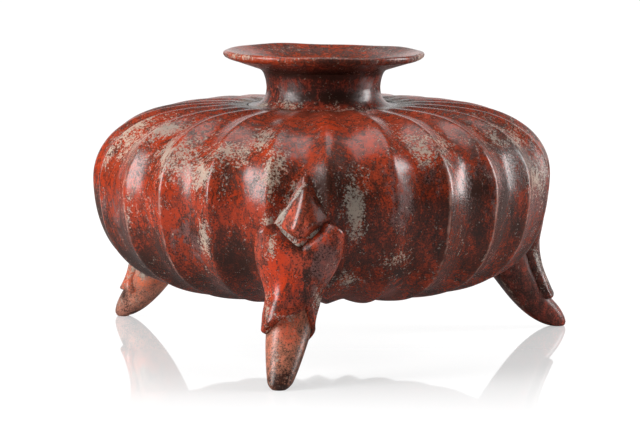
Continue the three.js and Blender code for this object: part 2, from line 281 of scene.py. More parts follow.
full_line = wall_line(outline_spacing)
seam_point = np.array([[np.interp(widest_height, full_line[:, 1], full_line[:, 0]), widest_height]])
bowl_line = np.vstack((full_line[full_line[:, 1] < widest_height - seam_clearance], seam_point))
bowl_line = evenly_spaced(bowl_line, outer_rings)
bowl_line[0, 0] = 0
bowl_inside = inside_of(bowl_line, bowl_rib_start)
bowl_inside[0, 1] = widest_height
bowl_inside[-1, 0] = 0
bowl_form = thrown_wall(bowl_line, bowl_inside, bowl_rib_start)


# Fire clouds on the wall, and a broad painted shade over the lower right: bearing, height in millimetres,
# half sizes in both, and strength
wall_smoke_and_shade = [
    (-58, 66, 26, 14, 1.2), (-80, 90, 14, 30, 1.0), (-56, 94, 15, 18, 0.9),
    (38, 92, 40, 34, 0.5), (62, 140, 22, 26, 0.5), (-30, 66, 40, 18, 0.5), (180, 90, 60, 30, 0.5),
    (-52, 72, 12, 16, 1.4), (-72, 78, 10, 24, 1.2), (-41, 84, 4, 20, 1.1), (-29, 100, 4, 20, 0.7),
    (-17, 85, 6, 26, 1.0), (-58, 70, 5, 14, 0.6), (-5, 141, 4, 14, 0.7), (5, 132, 4, 16, 0.9),
    (10, 130, 3, 30, 0.7), (25, 123, 4, 14, 0.8), (45, 125, 4, 22, 1.0), (56, 115, 4, 34, 1.0),
    (28, 73, 8, 8, 0.8), (8, 73, 5, 12, 0.6), (36, 105, 4, 20, 0.5), (70, 120, 5, 30, 0.5),
    (100, 90, 12, 25, 0.6), (150, 120, 9, 30, 0.8), (190, 80, 14, 22, 0.9), (235, 130, 10, 26, 0.7),
    (265, 90, 9, 24, 0.8),
]
# Lime and soil left from the ground, mostly in the flutes
wall_crust = [
    (-62, 158, 14, 16, 0.7), (-35, 150, 10, 20, 0.7), (-20, 156, 8, 12, 0.6), (35, 163, 12, 8, 0.6),
    (70, 160, 14, 14, 0.6), (74, 132, 9, 22, 0.6), (-48, 120, 8, 14, 0.4), (-7.5, 112, 2.2, 5, 0.9),
    (-4.4, 115, 1.3, 5, 0.9), (-3.2, 125, 1.3, 6, 0.9), (-1.4, 136, 1.1, 6, 0.9),
    (5.7, 117, 1.3, 5, 0.6), (4.2, 127, 1.3, 6, 0.6), (2.4, 138, 1.1, 5, 0.6),
    (-67, 166, 6, 8, 0.9), (-51, 167, 8, 7, 1.0), (-40, 153, 5, 12, 0.9), (-68, 148, 5, 12, 0.8),
    (-26, 142, 5, 14, 0.9), (-13, 165, 5, 7, 0.8), (-7, 147, 3, 18, 0.8), (-25, 97, 2, 16, 0.8),
    (13, 122, 3, 26, 0.9), (33, 158, 4, 12, 0.7), (40, 158, 4, 12, 0.7), (24, 83, 4, 6, 0.7),
    (12, 70, 4, 8, 0.6), (110, 160, 12, 10, 0.8), (135, 120, 6, 30, 0.7), (170, 150, 10, 14, 0.8),
    (215, 165, 12, 9, 0.8), (250, 140, 7, 22, 0.8), (275, 110, 5, 24, 0.6),
]
# Where the slip is thick and fired bright red
wall_blush = [
    (-40, 122, 22, 26, 0.9), (-15, 120, 16, 22, 0.7), (-50, 164, 28, 15, 0.9), (7, 173, 5, 6, 1.0),
    (17, 162, 7, 12, 1.0), (31, 158, 6, 16, 0.9), (42, 150, 6, 22, 0.6), (-5, 162, 10, 12, 0.9),
    (120, 120, 16, 26, 0.6), (205, 130, 22, 28, 0.7), (285, 130, 16, 34, 0.8), (165, 95, 14, 20, 0.5),
]
# Where a grey-violet bloom of manganese dulls the slip; the patches on the right side are partly a painted
# mauve sheen
wall_bloom_and_sheen = [
    (-62, 100, 20, 30, 0.6), (-30, 95, 14, 20, 0.7), (12, 118, 5, 26, 0.9), (24, 128, 6, 26, 0.9),
    (33, 140, 6, 20, 0.8), (52, 130, 12, 34, 0.8), (78, 120, 16, 40, 1.1), (5, 70, 20, 16, 0.7),
    (-2, 160, 8, 12, 0.7), (140, 120, 30, 30, 0.7), (230, 120, 30, 30, 0.7), (-20, 170, 40, 8, 0.5),
]
wall_marks = {"smoke_and_shade": wall_smoke_and_shade, "crust": wall_crust, "blush": wall_blush, "bloom_and_sheen": wall_bloom_and_sheen}
rubbed_and_highlight_bearings = (10, 40)  # degrees from the front where the painted crest highlight starts and is full


def paint_patches(form, marks, place_of=bearing_of):
    """Writes how strongly each point bears each kind of mark: the strongest of the soft patches there."""
    for kind, patches in marks.items():
        layer = form.verts.layers.float.new(kind)
        for vert in form.verts:
            place, height, strongest = place_of(vert.co), vert.co.z * 1000, 0
            for middle, level, half_width, half_height, strength in patches:
                aside = (place - middle + 180) % 360 - 180
                reach = (aside / half_width) ** 2 + ((height - level) / half_height) ** 2
                strongest = max(strongest, strength * math.exp(-reach))
            vert[layer] = strongest


def paint_crest_wear_and_highlight(form, rib_start):
    """Pale lines along the crests at the sides and back: a painted highlight where they catch the light,
    and some slip rubbed thin.
    """
    wear_and_highlight = form.verts.layers.float.new("wear_and_highlight")
    for vert in form.verts:
        turn = np.interp(bearing_of(vert.co), crest_bearings, range(rib_count + 2))
        aside = 0.5 - abs(turn - math.floor(turn) - 0.5)
        from_front = abs((bearing_of(vert.co) + 180) % 360 - 180)
        strength = rib_strength(radius_of(vert.co), rib_start) * smooth_step(from_front, *rubbed_and_highlight_bearings)
        vert[wear_and_highlight] = strength * bell(aside, 0, crest_wear_and_highlight_width)


def add_node(tree, kind, settings=(), **inputs):
    """A node with its settings. An input, named or i and its number, takes a value or a link."""
    node = tree.nodes.new(kind)
    for setting, value in dict(settings).items():
        setattr(node, setting, value)
    for name, value in inputs.items():
        numbered = name[0] == "i" and name[1:].isdigit()
        socket = node.inputs[int(name[1:]) if numbered else name]
        if isinstance(value, bpy.types.NodeSocket):
            tree.links.new(value, socket)
        else:
            socket.default_value = value
    return node


def arithmetic(tree, operation, first, second):
    return add_node(tree, "ShaderNodeMath", {"operation": operation}, i0=first, i1=second).outputs[0]


def soft_mask(tree, value, start, end, most=1.0, least=0.0):
    """The least below the start, the most above the end and smooth between."""
    settings = {"interpolation_type": "SMOOTHSTEP"}
    mask = add_node(tree, "ShaderNodeMapRange", settings, i0=value, i1=start, i2=end, i3=least, i4=most)
    return mask.outputs[0]


def blend_colours(tree, share, under, over):
    mix = add_node(tree, "ShaderNodeMix", {"data_type": "RGBA"}, i0=share, i6=under, i7=over)
    return mix.outputs[2]


def mottle(tree, where, size, detail, roughness, distortion=0.0):
    """Cloudy noise whose marks are about this many metres across."""
    made = add_node(
        tree, "ShaderNodeTexNoise", {"noise_dimensions": "3D"},
        Vector=where, Scale=1 / size, Detail=detail, Roughness=roughness, Distortion=distortion,
    )
    return made.outputs["Fac"]


def weighed_sum(tree, *parts):
    """The sum of some values, each times its weight."""
    total = None
    for value, weight in parts:
        part = arithmetic(tree, "MULTIPLY", value, weight)
        total = part if total is None else arithmetic(tree, "ADD", total, part)
    return total


soot_and_shade = (0.034, 0.012, 0.008, 1)
manganese_and_sheen = (0.17, 0.095, 0.09, 1)
bare_clay_and_highlight = (0.47, 0.23, 0.18, 1)
fresh_lime = (0.47, 0.37, 0.285, 1)
old_lime = (0.32, 0.275, 0.225, 1)
thin_slip = 0.55  # how much of the dark clay shows through flakes of thin slip
pepper_cover = 0.9
bloom_and_sheen_cover = 0.5
bare_and_highlight_cover = 0.6
lime_cover = 0.8


def make_slip_group():
    """Old burnished slip: red broken up by smoke, specks, bloom and lime, plus painted shade, sheen and
    crest highlight; its gloss and relief.
    """
    group = bpy.data.node_groups.new("weathered slip", "ShaderNodeTree")
    for name in ("Red", "Bright", "Dark"):
        group.interface.new_socket(name, in_out="INPUT", socket_type="NodeSocketColor")
    for name in ("Smoke_and_shade", "Crust", "Blush", "Bloom_and_sheen", "Wear_and_highlight", "Polish"):
        group.interface.new_socket(name, in_out="INPUT", socket_type="NodeSocketFloat")
    group.interface.new_socket("Color", in_out="OUTPUT", socket_type="NodeSocketColor")
    for name in ("Roughness", "Height"):
        group.interface.new_socket(name, in_out="OUTPUT", socket_type="NodeSocketFloat")
    given = group.nodes.new("NodeGroupInput").outputs
    where = group.nodes.new("ShaderNodeTexCoord").outputs["Object"]
    stretched = add_node(group, "ShaderNodeMapping", i0=where, i3=(1.0, 1.0, 0.5)).outputs[0]

    broad = mottle(group, where, 0.045, 2.0, 0.5, 0.3)
    clouds = mottle(group, stretched, 0.011, 3.0, 0.6, 0.5)
    flakes = mottle(group, stretched, 0.0042, 3.0, 0.7, 0.6)
    grain = mottle(group, where, 0.0012, 2.0, 0.75, 0.2)
    fibres = mottle(group, stretched, 0.008, 3.0, 0.65, 1.0)
    crumbs = mottle(group, where, 0.0015, 2.0, 0.75, 0.4)

    # The red, brighter where it blushes and thinner in flakes, and dull where the fire reached it and where
    # shade is painted
    darkening = weighed_sum(
        group, (grain, 0.65), (flakes, 0.38), (clouds, 0.42), (broad, 0.30),
        (given["Smoke_and_shade"], 0.17), (given["Blush"], -0.08),
    )
    dull = soft_mask(group, darkening, 0.825, 0.925)
    blushing = soft_mask(group, given["Blush"], 0.1, 0.8)
    red = blend_colours(group, blushing, given["Red"], given["Bright"])
    thin = blend_colours(group, thin_slip, red, given["Dark"])
    red = blend_colours(group, soft_mask(group, flakes, 0.45, 0.58), red, thin)
    colour = blend_colours(group, dull, red, given["Dark"])

    # The violet bloom and a painted mauve sheen, then soot as fine pepper, and as clouds that also carry
    # painted shade
    blooming_and_sheen = weighed_sum(group, (fibres, 0.45), (flakes, 0.35), (broad, -0.30), (given["Bloom_and_sheen"], 0.22))
    bloom_and_sheen_mask = soft_mask(group, blooming_and_sheen, 0.36, 0.46, bloom_and_sheen_cover)
    colour = blend_colours(group, bloom_and_sheen_mask, colour, manganese_and_sheen)
    peppering = weighed_sum(group, (grain, 1.0), (given["Blush"], -0.035))
    colour = blend_colours(group, soft_mask(group, peppering, 0.55, 0.63, pepper_cover), colour, soot_and_shade)
    sooty_and_shaded = soft_mask(group, darkening, 0.94, 1.05)
    colour = blend_colours(group, sooty_and_shaded, colour, soot_and_shade)

    # Pale clay along the crests, a painted highlight with some slip rubbed off, and the lime on top of all
    wear_and_highlight_amount = weighed_sum(group, (given["Wear_and_highlight"], 0.50), (fibres, 0.60), (flakes, 0.40))
    colour = blend_colours(group, soft_mask(group, wear_and_highlight_amount, 0.78, 1.10, bare_and_highlight_cover), colour, bare_clay_and_highlight)
    liming = weighed_sum(group, (crumbs, 0.70), (fibres, 0.50), (given["Crust"], 0.27))
    limed = soft_mask(group, liming, 0.71, 0.84, lime_cover)
    lime = blend_colours(group, soft_mask(group, broad, 0.42, 0.58), fresh_lime, old_lime)
    colour = blend_colours(group, limed, colour, lime)

    rough = weighed_sum(group, (given["Polish"], 1.0), (clouds, 0.10), (limed, 0.30))
    height = weighed_sum(group, (limed, 0.5), (grain, 0.35), (sooty_and_shaded, -0.35))

    add_node(group, "NodeGroupOutput", Color=colour, Roughness=rough, Height=height)
    return group


slip_group = make_slip_group()
relief_depth = 0.00025
relief_strength = 0.7
slip_specular = 0.36
sharp_edge = math.radians(50)


def slip_material(name, red, bright, dark, polish=0.17):
    """A piece's slip. The piece's own smoke and painted shade, crust, blush, bloom and painted sheen, and
    wear and painted crest highlight say where its marks are.
    """
    material = bpy.data.materials.new(name)
    material.use_nodes = True
    tree = material.node_tree
    shader = tree.nodes["Principled BSDF"]
    slip = tree.nodes.new("ShaderNodeGroup")
    slip.node_tree = slip_group
    for tone, colour in (("Red", red), ("Bright", bright), ("Dark", dark)):
        slip.inputs[tone].default_value = (*colour, 1)
    slip.inputs["Polish"].default_value = polish
    for mark in ("Smoke_and_shade", "Crust", "Blush", "Bloom_and_sheen", "Wear_and_highlight"):
        reading = add_node(tree, "ShaderNodeAttribute", {"attribute_name": mark.lower()})
        tree.links.new(reading.outputs["Fac"], slip.inputs[mark])
    relief = slip.outputs["Height"]
    bump = add_node(tree, "ShaderNodeBump", Distance=relief_depth, Strength=relief_strength, Height=relief)
    shader.inputs["Specular IOR Level"].default_value = slip_specular
    tree.links.new(slip.outputs["Color"], shader.inputs["Base Color"])
    tree.links.new(slip.outputs["Roughness"], shader.inputs["Roughness"])
    tree.links.new(bump.outputs["Normal"], shader.inputs["Normal"])
    return material


def finished_piece(form, name, material, node):
    """Turns a form into the piece that stands for a CAD node, smooth but for its sharp edges."""
    mesh = bpy.data.meshes.new(name)
    for edge in form.edges:
        edge.smooth = not edge.is_manifold or edge.calc_face_angle() < sharp_edge
    for face in form.faces:
        face.smooth = True
    form.to_mesh(mesh)
    form.free()
    mesh.materials.append(material)
    piece = bpy.data.objects.new(name, mesh)
    bpy.context.scene.collection.objects.link(piece)
    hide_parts(node)
    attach(piece, "root")


paint_patches(bowl_form, wall_marks)
paint_crest_wear_and_highlight(bowl_form, bowl_rib_start)
bowl_tones = ((0.26, 0.030, 0.010), (0.33, 0.030, 0.007), (0.080, 0.017, 0.009))
bowl_slip = slip_material("burnished wall slip", *bowl_tones)
finished_piece(bowl_form, "ribbed_bowl", bowl_slip, "lower_bowl")


# Shoulder
# The ribbed half above the widest line, closed in over the bowl until only the neck's opening is left.
# Its flutes run out in soft waves, and it sinks a little where the neck was pressed on.
crown_rib_start = 0.055
neck_foot_radius = 0.056
neck_sink = 0.0021
neck_sink_reach = 0.073
neck_sink_inset = 0.004
shade_by_neck = 0.9
lime_by_neck = 0.55
ring_start = 0.002  # out from the neck's foot
ring_end = 0.022
shoulder_tones = ((0.29, 0.038, 0.015), (0.35, 0.032, 0.007), (0.090, 0.021, 0.012))
above = (full_line[:, 1] > widest_height + seam_clearance) & (full_line[:, 0] > neck_foot_radius)
shoulder_line = evenly_spaced(np.vstack((seam_point, full_line[above])), outer_rings)
shoulder_line[-1, 0] = neck_foot_radius
shoulder_inside = inside_of(shoulder_line, crown_rib_start)
shoulder_inside[-1, 1] = widest_height


def neck_dip(radius):
    """How far the shoulder sinks towards the neck."""
    return neck_sink * (1 - smooth_step(radius, neck_foot_radius - neck_sink_inset, neck_sink_reach))


shoulder_form = thrown_wall(shoulder_line, shoulder_inside, crown_rib_start)
for vert in shoulder_form.verts:
    vert.co.z -= neck_dip(radius_of(vert.co))
paint_patches(shoulder_form, wall_marks)
paint_crest_wear_and_highlight(shoulder_form, crown_rib_start)

# Lime stays in the ring round the neck's foot, where no hand rubs it off, and the same ring is darkened
# with painted shade where the shoulder meets the neck
smoke_and_shade_layer = shoulder_form.verts.layers.float["smoke_and_shade"]
lime_layer = shoulder_form.verts.layers.float["crust"]
for vert in shoulder_form.verts:
    from_foot = radius_of(vert.co) - neck_foot_radius
    near_neck = 1 - smooth_step(from_foot, ring_start, ring_end)
    vert[smoke_and_shade_layer] = max(vert[smoke_and_shade_layer], shade_by_neck * near_neck)
    vert[lime_layer] = max(vert[lime_layer], lime_by_neck * near_neck)
shoulder_slip = slip_material("burnished shoulder slip", *shoulder_tones)
finished_piece(shoulder_form, "ribbed_shoulder", shoulder_slip, "upper_body")


# Neck
# A short waisted collar of clay, turned by hand and pressed down into the shoulder's opening, with the
# joint smoothed over. It leans a little, as does the rim on it.
neck_low, neck_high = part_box("neck_collar")
neck_axis = Vector(((neck_low.x + neck_high.x) / 2, body_axis.y, 0))
turning_steps = 240
outside_spacing = 0.0009
inside_spacing = 0.002
rim_top = 0.2185
shoulder_level = 0.1785
lip_radius = 0.070
lip_lean = 0.0011
lean_bearing = math.radians(225)  # the lip stands highest at the back left
lip_twist = 0.0004
lip_ripple = 0.0002
lip_wobble = 0.0004  # how far the lip is out of round
low_place_depth = 0.0019
low_place_bearing = 167
low_place_half_angle = 34
turned_unevenness = 0.6  # as a share of the wall's
neck_outside = [
    (0.0560, 0.1784), (0.0535, 0.1781), (0.0508, 0.1784), (0.0478, 0.1797), (0.0451, 0.1822),
    (0.0431, 0.1858), (0.0423, 0.1900), (0.0426, 0.1950), (0.0436, 0.1993), (0.0446, 0.2020),
    (0.0459, 0.2039),
]
neck_inside = [
    (0.0400, 0.2073), (0.0378, 0.2035), (0.0366, 0.1980), (0.0363, 0.1900), (0.0366, 0.1780),
    (0.0372, 0.1735), (0.0460, 0.1732), (0.0520, 0.1745),
]


def rounded_line(points, spacing):
    """A smooth line through points, in steps of about this length."""
    points = np.array(points)
    run = run_along(points)
    slopes = np.gradient(points, run, axis=0)
    line = []
    for i in range(len(points) - 1):
        span = run[i + 1] - run[i]
        count = max(round(span / spacing), 1)
        for share in np.arange(count) / count:
            past, left = share * share, 1 - share
            line.append(
                points[i] * (1 + 2 * share) * left ** 2 + points[i + 1] * past * (3 - 2 * share)
                + slopes[i] * span * share * left ** 2 - slopes[i + 1] * span * past * left
            )
    line.append(points[-1])
    return np.array(line)


def set_by_hand(form):
    """Leans, ripples and bends the neck and rim, more and more towards the lip."""
    for vert in form.verts:
        bearing = math.radians(bearing_of(vert.co))
        share = max((vert.co.z - shoulder_level) / (rim_top - shoulder_level), 0)
        radius = radius_of(vert.co)
        lean = lip_lean * math.cos(bearing - lean_bearing) + lip_twist * math.cos(2 * bearing + 0.6)
        ripple = lip_ripple * math.sin(5 * bearing + 1) + lip_ripple * math.sin(9 * bearing)
        low_place = low_place_depth * bell(bearing_of(vert.co), low_place_bearing, low_place_half_angle)
        vert.co.z += share ** 2 * (lean + ripple - low_place) * radius / lip_radius
        around = Vector((math.sin(bearing), -math.cos(bearing), 0))
        wobble = share * lip_wobble * math.cos(3 * bearing + 2)
        vert.co += around * (hand_unevenness(vert.co) * turned_unevenness + wobble)


def turned_form(outside, outside_step, inside, inside_step):
    """A closed outline of radii and heights, spun round the neck's axis and set by hand."""
    line = np.vstack((rounded_line(outside, outside_step), rounded_line(inside, inside_step)))
    form = bmesh.new()
    points = [form.verts.new((neck_axis.x, neck_axis.y - radius, height)) for radius, height in line]
    edges = [form.edges.new((points[i - 1], points[i])) for i in range(len(points))]
    bmesh.ops.spin(
        form, geom=points + edges, cent=neck_axis, axis=(0, 0, 1), angle=2 * math.pi,
        steps=turning_steps, use_merge=True,
    )
    bmesh.ops.recalc_face_normals(form, faces=form.faces)
    set_by_hand(form)
    return form


neck_form = turned_form(neck_outside, outside_spacing, neck_inside, inside_spacing)
neck_marks = {
    "smoke_and_shade": [
        # The band all round at 204 mm, just under the lip, and the narrow patches at 184 to 187 mm by the
        # neck's foot are painted shade.
        (0, 190, 60, 22, 0.3), (0, 204, 400, 4, 1.1), (24, 187, 28, 5, 1.5), (-10, 187, 8, 4, 1.2),
        (-28, 184, 12, 5, 0.7), (60, 184, 40, 14, 0.5), (150, 190, 60, 22, 0.8), (250, 190, 50, 22, 0.8),
    ],
    "crust": [
        (-60, 178, 20, 4, 0.8), (-26, 181, 24, 4, 0.55), (24, 179, 30, 3, 0.4), (200, 180, 40, 5, 0.7),
    ],
    "blush": [(-70, 190, 30, 12, 0.7), (80, 200, 20, 8, 0.4), (0, 180, 60, 3, 0.8), (-10, 198, 40, 5, 0.5)],
    "bloom_and_sheen": [(-30, 190, 30, 16, 0.7), (50, 188, 24, 14, 0.9), (180, 190, 60, 16, 0.7)],
}
paint_patches(neck_form, neck_marks)
neck_tones = ((0.21, 0.034, 0.020), (0.30, 0.044, 0.022), (0.050, 0.014, 0.010))
neck_slip = slip_material("burnished neck slip", *neck_tones)
finished_piece(neck_form, "waisted_neck", neck_slip, "neck_collar")


# Rim
# The mouth: a flared coil of clay set on the neck and rounded over at the lip. Lime has stayed along its
# edge, the fire smoked it in places, and a band of painted shade darkens it underneath.
rim_outside_spacing = 0.0008
rim_inside_spacing = 0.0016
rim_outside = [
    (0.0459, 0.2039), (0.0476, 0.2050), (0.0513, 0.2063), (0.0580, 0.2085), (0.0660, 0.2111),
    (0.0710, 0.2127), (0.0732, 0.2140), (0.0743, 0.2155), (0.0745, 0.2170), (0.0737, 0.2182),
    (0.0722, 0.2187), (0.0705, 0.2184),
]
rim_inside = [(0.0640, 0.2162), (0.0560, 0.2138), (0.0480, 0.2111), (0.0430, 0.2090), (0.0400, 0.2073)]
rim_form = turned_form(rim_outside, rim_outside_spacing, rim_inside, rim_inside_spacing)
rim_marks = {
    "smoke_and_shade": [
        (0, 204, 400, 5, 1.1), (180, 214, 60, 6, 0.6), (20, 214, 30, 6, 0.7), (60, 210, 30, 8, 0.6),
        # The band all round at 204 mm, under the lip, is painted shade.
        (140, 216, 40, 8, 0.6), (300, 212, 12, 6, 0.5),
    ],
    "crust": [
        (-50, 217, 20, 3, 0.6), (80, 214, 16, 4, 0.7), (150, 217, 16, 3, 0.4), (215, 217, 12, 3, 0.4),
        (10, 218, 20, 2, 0.4),
    ],
    "blush": [(-40, 216, 50, 8, 0.9), (180, 214, 70, 8, 0.9), (95, 216, 20, 6, 0.5)],
    "bloom_and_sheen": [(70, 214, 40, 10, 0.8), (-80, 214, 20, 8, 0.6)],
}
paint_patches(rim_form, rim_marks)
rim_tones = ((0.27, 0.040, 0.017), (0.35, 0.044, 0.014), (0.095, 0.024, 0.014))
rim_slip = slip_material("burnished rim slip", *rim_tones)
finished_piece(rim_form, "flared_rim", rim_slip, "rim_lip")


# Supports: tails and breasts
# Three birds carry the bowl, each modelled on its own and luted on. The breast swells out under the
# wings, and the tail sweeps down and out to a foot that is worn flat where it stands.
supports = {
    "front": {
        "bearing": 0.0, "fork": 0.0530, "left_tip": 0.0335, "right_tip": 0.0280,
        "heel": 0.0, "thinning": 0.0, "relief": 1.0,
    },
    "right": {
        "bearing": 120.0, "fork": 0.0310, "left_tip": 0.0225, "right_tip": 0.0215,
        "heel": 0.0035, "thinning": 0.0020, "relief": 0.4,
    },
    "left": {
        "bearing": 241.6, "fork": 0.0240, "left_tip": 0.0190, "right_tip": 0.0175,
        "heel": 0.0, "thinning": 0.0, "relief": 0.3,
    },
}
foot_radius = 0.196
foot_lean = 0.0118
shoulder_lean = 0.001
upright_share = 0.25  # how much less the breast leans than the tail
wing_top = 0.1088
breast_top = 0.1018
breast_waist = 0.055
breast_shoulders = 0.0938  # height from which the breast is at its widest
shoulder_widening = 0.0064
foot_half_width = 0.0064
tail_widening = 0.0114
tail_width_power = 0.62  # below 1 the tail widens soonest just above the foot
bow_depth = 0.0014
bow_height = 0.032
bow_half_height = 0.020
breast_reach = 0.1736
toe_reach = 0.0284
toe_height = 0.032
tail_run = 0.052
tail_root_height = 0.0397
tail_run_power = 0.61
flat_half_width = 0.0037  # the worn flat that a tail stands on
toe_round = 0.005
heel_height = 0.03
thinning_height = 0.026
thinning_half_height = 0.008
leg_columns = 88
leg_rings = 110
foot_crowding = 1.35  # above 1 the rings stand closer together towards the foot
section_power = 2.3
bury_depth = 0.0065  # how deep the supports are set into the wall
flat_sole = 0.0001
sole_fade = 0.01  # height over which the clay's unevenness comes in
tail_polish = 0.26

bury_line = bowl_line - facing(bowl_line) * bury_depth


def tail_bow(height):
    return bow_depth * bell(height, bow_height, bow_half_height)


def lean_at(height):
    """How far right of its middle a support stands. The tail bows a little to the bird's left."""
    upright = upright_share * np.maximum(height - breast_waist, 0)
    lean = (foot_lean + shoulder_lean) * (height - upright) / wing_top
    return lean - foot_lean - tail_bow(height) / 2


def breast_half_width(height):
    tail = foot_half_width + tail_widening * np.minimum(height / breast_waist, 1) ** tail_width_power
    widening = shoulder_widening * smooth_step(height, breast_waist, breast_shoulders)
    return tail + tail_bow(height) / 2 + widening


def breast_outer(height):
    return breast_reach + toe_reach * bell(height, 0, toe_height)


def breast_inner(height):
    free = foot_radius - tail_run * (height / tail_root_height) ** tail_run_power
    buried = np.interp(height, bury_line[:, 1], bury_line[:, 0])
    return np.maximum(free, np.where(height > bury_line[0, 1], buried, 0))


def breast_place(support, turn, height, grow=0.0):
    """Sideways place and reach of the breast's surface at a turn, from its right through the front."""
    tip = np.sqrt(1 - np.clip(1 - height / toe_round, 0, 1) ** 2)
    toe = foot_radius + flat_half_width
    outer = toe + (breast_outer(height) - toe) * tip
    outer = outer - support["thinning"] * bell(height, thinning_height, thinning_half_height)
    inner = breast_inner(height) - support["heel"] * bell(height, 0, heel_height)
    inner = np.minimum(inner, foot_radius - flat_half_width)
    half_width = flat_half_width + (breast_half_width(height) - flat_half_width) * tip
    across = np.sign(np.cos(turn)) * np.abs(np.cos(turn)) ** (2 / section_power)
    along = np.sign(np.sin(turn)) * np.abs(np.sin(turn)) ** (2 / section_power)
    middle, half_depth = (outer + inner) / 2, (outer - inner) / 2
    return lean_at(height) + across * (half_width + grow), middle + along * (half_depth + grow)


def stand_round(form, bearing):
    """Moves a form made in front of the body round to its bearing. Its y is the reach from the axis."""
    angle = math.radians(bearing)
    outward = Vector((math.sin(angle), -math.cos(angle), 0))
    aside = Vector((math.cos(angle), math.sin(angle), 0))
    for vert in form.verts:
        vert.co = body_axis + aside * vert.co.x + outward * vert.co.y + Vector((0, 0, vert.co.z))
    bmesh.ops.recalc_face_normals(form, faces=form.faces)


def sleeve(columns, rings):
    """A closed drum of unit radius and height, to be shaped ring by ring."""
    form = bmesh.new()
    bmesh.ops.create_cone(form, cap_ends=True, segments=columns, radius1=1, radius2=1, depth=1)
    upright = [edge for edge in form.edges if abs(edge.verts[0].co.z - edge.verts[1].co.z) > 0.5]
    bmesh.ops.subdivide_edges(form, edges=upright, cuts=rings, use_grid_fill=True)
    return form


def paint_support(form, marks, own=None):
    """Paints a piece of a support while it stands in front of the body, with that support's own marks."""
    every = {kind: patches + (own or {}).get(kind, []) for kind, patches in marks.items()}
    paint_patches(form, every, lambda point: point.x * 1000)


# Marks on the supports: place aside and height in millimetres, half sizes in both, and strength
tail_marks = {
    "smoke_and_shade": [(2, 22, 9, 10, 0.5), (-9, 8, 14, 10, 0.5), (8, 40, 3, 8, 0.6)],
    "crust": [(-14, 28, 3, 14, 0.5), (10, 36, 3, 16, 0.8), (-8, 46, 10, 3, 0.7), (-1, 99, 12, 8, 1.0)],
    "blush": [(-6, 40, 9, 12, 0.9)],
    "bloom_and_sheen": [],
}
own_marks = {
    # The front bird's smoke patch at its foot is painted shade where the foot meets the floor.
    "front": {"smoke_and_shade": [(-10, 6, 14, 10, 1.3)]},
    "right": {
        "smoke_and_shade": [(-10, 40, 14, 30, 1.0)], "crust": [(-3, 16, 5, 8, 0.9)], "bloom_and_sheen": [(-8, 70, 8, 20, 0.8)],
    },
    "left": {"crust": [(9, 34, 2.5, 14, 0.75), (4, 14, 8, 6, 0.5)], "blush": [(4, 34, 6, 14, 1.0)]},
}
tail_tones = {
    "front": ((0.48, 0.15, 0.090), (0.52, 0.085, 0.04), (0.23, 0.090, 0.055)),
    "right": ((0.28, 0.044, 0.025), (0.33, 0.048, 0.024), (0.110, 0.026, 0.017)),
    "left": ((0.52, 0.19, 0.115), (0.55, 0.13, 0.06), (0.30, 0.13, 0.09)),
}
for name, support in supports.items():
    leg = sleeve(leg_columns, leg_rings)
    for vert in leg.verts:
        share = vert.co.z + 0.5
        height = breast_top * share ** foot_crowding
        aside, reach = breast_place(support, math.atan2(vert.co.y, vert.co.x), height)
        vert.co = (aside, reach, height)
    paint_support(leg, tail_marks, own_marks[name])
    stand_round(leg, support["bearing"])
    for vert in leg.verts:
        if vert.co.z > flat_sole:
            away = Vector((vert.co.x - body_axis.x, vert.co.y - body_axis.y, 0)).normalized()
            vert.co += away * hand_unevenness(vert.co) * min(vert.co.z / sole_fade, 1)
    tail_slip = slip_material(f"{name} tail slip", *tail_tones[name], tail_polish)
    finished_piece(leg, f"{name}_tail", tail_slip, f"{name}_leg")


# Supports: wings
# Two slabs of clay folded over each bird's back. They meet in a ridge that runs down from the right
# shoulder to a fork, and each ends in a rounded tip that stands clear of the tail.
wing_columns = 70
wing_rows = 96
wing_thickness = 0.0036
wing_shoulder_rise = 0.0023
wing_edge_round = 0.0032
low_edge_tightness = 1.35  # above 1 the lower edge turns in more tightly
high_edge_softness = 1.8
back_edge_softness = 2.2  # how much softer the back edge is on a wing without relief
soft_back_start = 0.008  # above the wing's tip
soft_back_run = 0.012
wing_sink = 0.0010
wing_wrap_low = math.radians(22)
wing_wrap_high = math.radians(2)
wing_knob_wrap = {"left": 0, "right": math.radians(26)}  # how much further round a wing's tip reaches
wing_knob_height = 0.0060
wing_knob_half_height = 0.006
wing_ridge = 0.0026
ridge_half_width = 0.024
ridge_start = 0.050
ridge_run = 0.03
seam_high = (0.0020, 0.0958)
seam_low = (0.0035, 0.0530)
ridge_high = (0.0210, 0.1060)
ridge_low = (0.0035, 0.0540)
fold_high = (-0.0040, 0.0760)
fold_low = (-0.0160, 0.0480)
wing_roll = 0.0030
roll_half_width = 0.0075
roll_top = 0.080
roll_run = 0.02
wing_lip = 0.0004
lip_inset = 0.004
lip_half_width = 0.0035
lip_fade = 1.2
wing_row_crowding = 0.8
leg_middle_reach = 0.155  # the back of a wing is pressed in towards here
wing_root_depth = 0.004
curve_steps = 400
curve_softening = 15
bird_polish = 0.18

